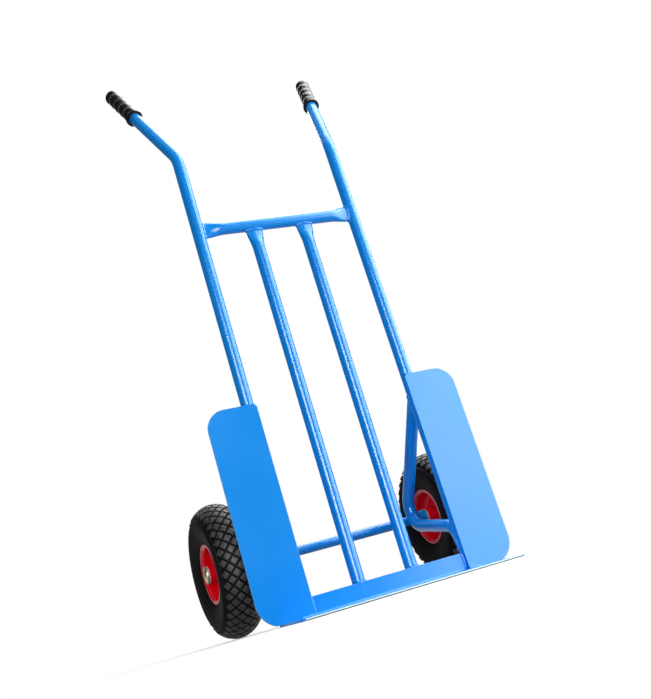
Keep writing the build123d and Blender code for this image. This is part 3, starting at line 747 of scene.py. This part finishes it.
def makeWelds():
    across = Vector((1, 0, 0))
    up = Vector((0, 0, 1))
    front = Vector((0, -1, 0))
    radius = tubes["radius"]
    oval = (tubes["flatWide"], tubes["flatThin"])
    legSlope, toeSlope = math.radians(tubes["legSlope"]), math.radians(tubes["toeSlope"])
    bracketWays = {
        "leg": Vector((0, -math.sin(legSlope), math.cos(legSlope))),
        "toe": Vector((0, -math.cos(toeSlope), -math.sin(toeSlope))),
    }
    groups = ("crossbar", "inner_bar", "wing", "upstand", "rail_foot", "bracket")
    beads = {name: bmesh.new() for name in groups}
    for side in sides.values():
        rail = railSpot(side, 0)
        layBead(beads["crossbar"], saddleSeam(
            crossbarSpot, across * side, railAxis, *oval, rail, railAxis), True)
        bar = Vector((side * tubes["barX"], tubes["barFoot"], 0))
        layBead(beads["inner_bar"], saddleSeam(bar, barAxis, across, *oval, crossbarSpot, across), True)
        # bar foot on the upstand's top edge
        foot = bar + barAxis * (tubes["upstandTop"] / barAxis.z) + front * (radius / barAxis.z)
        layBead(beads["inner_bar"], straightSeam(
            foot - across * seams["footLeft"], foot + across * seams["footRight"],
            up + front * seams["footLean"]), size=seams["footSize"])
        # wing to its rail, to the upstand's end and to the toe plate
        top = railSpot(side, tubes["wingTop"]) + railFront * radius
        layBead(beads["wing"], straightSeam(
            top - across * seams["wingHalf"], top + across * seams["wingHalf"],
            railAxis + railFront * seams["wingLean"]))
        corner = Vector((side * tubes["upstandEnd"], tubes["upstandFront"], 0))
        layBead(beads["upstand"], straightSeam(
            corner + up * (tubes["plateTop"] + seams["upstandLow"]),
            corner + up * (tubes["upstandTop"] - seams["upstandHigh"]),
            front - across * side * seams["upstandLean"]), size=seams["upstandSize"])
        toe = rail + railFront * (radius + tubes["wingThickness"]) + up * tubes["plateTop"]
        layBead(beads["wing"], straightSeam(
            toe - across * side * radius, toe + across * side * seams["wingToe"],
            up + front), size=seams["wingToeSize"])
        # rail foot, behind the wing
        ground = railSpot(side, tubes["plateTop"])
        turns = (-seams["railTurn"], seams["railTurn"])
        layBead(beads["rail_foot"], arcSeam(ground, -railFront, across, radius, turns, up))
        for end, along in bracketWays.items():
            meet = railSpot(side, tubes[end + "Meets"] / railAxis.z)
            back = meet - along * seams["bracketBack"]
            seam = saddleSeam(back, along, across, radius, radius, rail, railAxis)
            if end == "leg":
                layBead(beads["bracket"], seam, True)
                continue
            # the toe's bead ends on both sides where the bracket bends away from the rail
            reach = [(meet - spot).dot(along) for spot, out in seam]
            far = reach.index(max(reach))
            order = list(range(far, len(seam))) + list(range(far))
            layBead(beads["bracket"], [seam[k] for k in order if reach[k] < tubes["straightRun"]])
    for name, bm in beads.items():
        addPiece(f"{name}_welds", bm, [powderCoat], "frame", weld["smoothAngle"])
    return len(beads)


print("weld groups", makeWelds())

# Plain studio: pale floor, white surround, a tall box light on the right, a flat one overhead and a
# low one at the left front
studio = {
    "floorSize": 14, "floorDrop": 0.2 * mm, "floorColour": "6A6A6A", "floorSeen": "F2F2F2", "floorGlow": 1.0,
    "floorRough": 0.9, "floorSpecular": 0.1, "glowShare": 0.45, "shadowReach": (0.3, 0.75), "surround": 0.16,
    "backdropWay": (0.3957, 0.8854, 0.2441), "backdropHalf": (30, 44), "room": 0.12,
}
# some only light, and some only show in gloss: a brighter wall in the box light's place, a tall strip
# behind the camera and a sheet high over the back right
lamps = {
    "box": {
        "spot": (1.55, -0.81, 1.5), "aim": (0, 0, 1.5), "size": (2.67, 3.0), "radiance": 3.2,
        "shows": "both"},
    "overhead": {
        "spot": (0.2, 0.3, 5.2), "aim": (0.2, 0.3, 0), "size": (4.8, 4.8), "radiance": 3.4,
        "shows": "diffuse"},
    "fill": {
        "spot": (-1.3, -1.9, 0.35), "aim": (0, 0, 0.2), "size": (1.6, 0.7), "radiance": 5.6,
        "shows": "diffuse"},
    "wall": {
        "spot": (1.57, -0.82, 1.6), "aim": (0, 0, 1.6), "size": (2.67, 3.4), "radiance": 9.5,
        "shows": "gloss"},
    "strip": {
        "spot": (-0.86, -2.14, 0.72), "aim": (0, 0, 0.72), "size": (1.0, 1.36), "radiance": 32,
        "shows": "gloss"},
    "back": {
        "spot": (1.0, 1.1, 2.8), "aim": (1.0, 1.1, 0), "size": (1.5, 4.6), "radiance": 8,
        "shows": "gloss"},
}
camera = {
    "spot": (-0.7300, -1.7532, 0.0223), "ahead": (0.3957, 0.8854, 0.2441), "roll": -16.36,
    "focalPixels": 957.6, "framePixels": 699, "sensor": 36, "clipStart": 0.05,
}


# Share of a white backdrop in each direction: full behind the object, gone towards the dim room around
def backdropShare(tree):
    inner, outer = (math.cos(math.radians(half)) for half in studio["backdropHalf"])
    way = addNode(tree, "TexCoord").outputs["Generated"]
    facing = addNode(tree, "VectorMath", {
        0: way, 1: studio["backdropWay"]}, operation="DOT_PRODUCT").outputs["Value"]
    return addNode(tree, "MapRange", {
        "Value": facing, 1: outer, 2: inner, 3: studio["room"], 4: 1.0}).outputs[0]


# Rays that show the surround as it looks: to the eye, in gloss and through glass
def seenRays(tree):
    path = addNode(tree, "LightPath").outputs
    glossy = addNode(tree, "Math", {
        0: path["Is Camera Ray"], 1: path["Is Glossy Ray"]}, operation="MAXIMUM").outputs[0]
    return addNode(tree, "Math", {
        0: glossy, 1: path["Is Transmission Ray"]}, operation="MAXIMUM").outputs[0]


def makeSurround():
    world = bpy.data.worlds.new("white_surround")
    world.use_nodes = True
    tree = world.node_tree
    tree.nodes.clear()
    lighting = addNode(tree, "Background", {
        "Color": (1, 1, 1, 1), "Strength": studio["surround"]}).outputs[0]
    toEye = addNode(tree, "LightPath").outputs["Is Camera Ray"]
    shown = addNode(tree, "Math", {0: toEye, 1: backdropShare(tree)}, operation="MAXIMUM").outputs[0]
    seen = addNode(tree, "Background", {"Color": (1, 1, 1, 1), "Strength": shown}).outputs[0]
    mixed = addNode(tree, "MixShader", {0: seenRays(tree), 1: lighting, 2: seen}).outputs[0]
    addNode(tree, "OutputWorld", {"Surface": mixed})
    bpy.context.scene.world = world


def makeFloor():
    bm = bmesh.new()
    bmesh.ops.create_grid(bm, x_segments=1, y_segments=1, size=studio["floorSize"] / 2)
    bmesh.ops.translate(bm, vec=(0, 0, -studio["floorDrop"]), verts=bm.verts)
    mesh = bpy.data.meshes.new("studio_floor")
    bm.to_mesh(mesh)
    bm.free()
    floor = bpy.data.objects.new("studio_floor", mesh)
    bpy.context.scene.collection.objects.link(floor)
    material, tree, shader = startMaterial("pale_paper_floor", **{
        "Roughness": studio["floorRough"], "Specular IOR Level": studio["floorSpecular"]})
    seen = seenRays(tree)
    colour = addNode(tree, "Mix", {
        0: seen, 6: hexColour(studio["floorColour"]), 7: hexColour(studio["floorSeen"])},
        data_type="RGBA").outputs[2]
    tree.links.new(colour, shader.inputs["Base Color"])
    # plain white far out, and the object's shadow near it
    spot = addNode(tree, "TexCoord").outputs["Object"]
    reach = addNode(tree, "VectorMath", {0: spot}, operation="LENGTH").outputs["Value"]
    near, far = studio["shadowReach"]
    plain = addNode(tree, "MapRange", {
        "Value": reach, 1: near, 2: far, 3: studio["glowShare"], 4: 1.0}).outputs[0]
    glow = addNode(tree, "Emission", {"Color": (1, 1, 1, 1), "Strength": studio["floorGlow"]}).outputs[0]
    share = addNode(tree, "Math", {0: seen, 1: plain}, operation="MULTIPLY").outputs[0]
    mixed = addNode(tree, "MixShader", {0: share, 1: shader.outputs[0], 2: glow}).outputs[0]
    tree.links.new(mixed, tree.nodes["Material Output"].inputs["Surface"])
    mesh.materials.append(material)


def makeLight(name, values):
    lamp = bpy.data.lights.new(name + "_light", "AREA")
    lamp.shape = "RECTANGLE"
    lamp.size, lamp.size_y = values["size"]
    lamp.energy = math.pi * lamp.size * lamp.size_y * values["radiance"]
    light = bpy.data.objects.new(name + "_light", lamp)
    bpy.context.scene.collection.objects.link(light)
    light.location = values["spot"]
    light.rotation_euler = (Vector(values["aim"]) - light.location).to_track_quat("-Z", "Y").to_euler()
    light.visible_camera = False
    light.visible_diffuse = values["shows"] != "gloss"
    light.visible_glossy = values["shows"] != "diffuse"


def makeCamera():
    lens = bpy.data.cameras.new("photo_camera")
    lens.sensor_width = camera["sensor"]
    lens.lens = camera["focalPixels"] / camera["framePixels"] * camera["sensor"]
    lens.clip_start = camera["clipStart"]
    view = bpy.data.objects.new("photo_camera", lens)
    bpy.context.scene.collection.objects.link(view)
    level = Vector(camera["ahead"]).to_track_quat("-Z", "Y").to_matrix().to_4x4()
    rolled = Matrix.Rotation(math.radians(camera["roll"]), 4, "Z")
    view.matrix_world = Matrix.Translation(camera["spot"]) @ level @ rolled
    bpy.context.scene.camera = view


makeSurround()
makeFloor()
for name, values in lamps.items():
    makeLight(name, values)
makeCamera()
bpy.context.scene.view_settings.view_transform = "Standard"
print("studio and camera")
